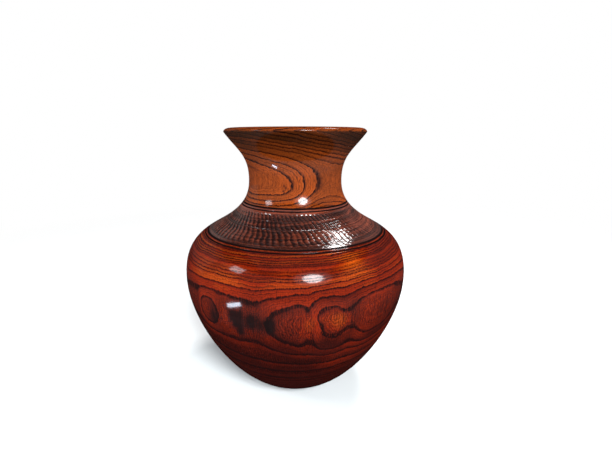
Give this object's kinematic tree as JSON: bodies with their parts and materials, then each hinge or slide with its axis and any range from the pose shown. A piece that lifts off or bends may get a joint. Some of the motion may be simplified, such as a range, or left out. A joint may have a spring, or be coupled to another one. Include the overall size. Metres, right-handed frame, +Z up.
{
  "type": "carved wooden vase",
  "caption": "Turned wooden flower vase with a flared mouth, carved shoulder band and round belly, holding a copper water liner that lifts out.",
  "frame": {"origin": "centre of the ring the vase stands on, at table height", "axes": "+Z up along the axis of turning, -Y towards the viewer of the picture"},
  "size_m": [0.2218, 0.2218, 0.26],
  "materials": {
    "neck_wood": "gloss lacquer",
    "carved_wood": "satin lacquer over carving",
    "belly_wood": "gloss lacquer",
    "plug_wood": "thin lacquer",
    "liner_copper": "dull copper",
    "rim_copper": "rubbed copper"
  },
  "bodies": {
    "vase": {"neck_collar": "neck_wood", "carved_shoulder": "carved_wood", "belly_bowl": "belly_wood", "base_plug": "plug_wood"},
    "liner": {"liner_tube": "liner_copper", "liner_bottom": "liner_copper", "liner_rim": "rim_copper"}
  },
  "joints": [
    {"name": "liner_lift", "type": "slide", "parent": "vase", "child": "liner", "axis": [0, 0, 1], "range_m": [0, 0.21]}
  ]
}
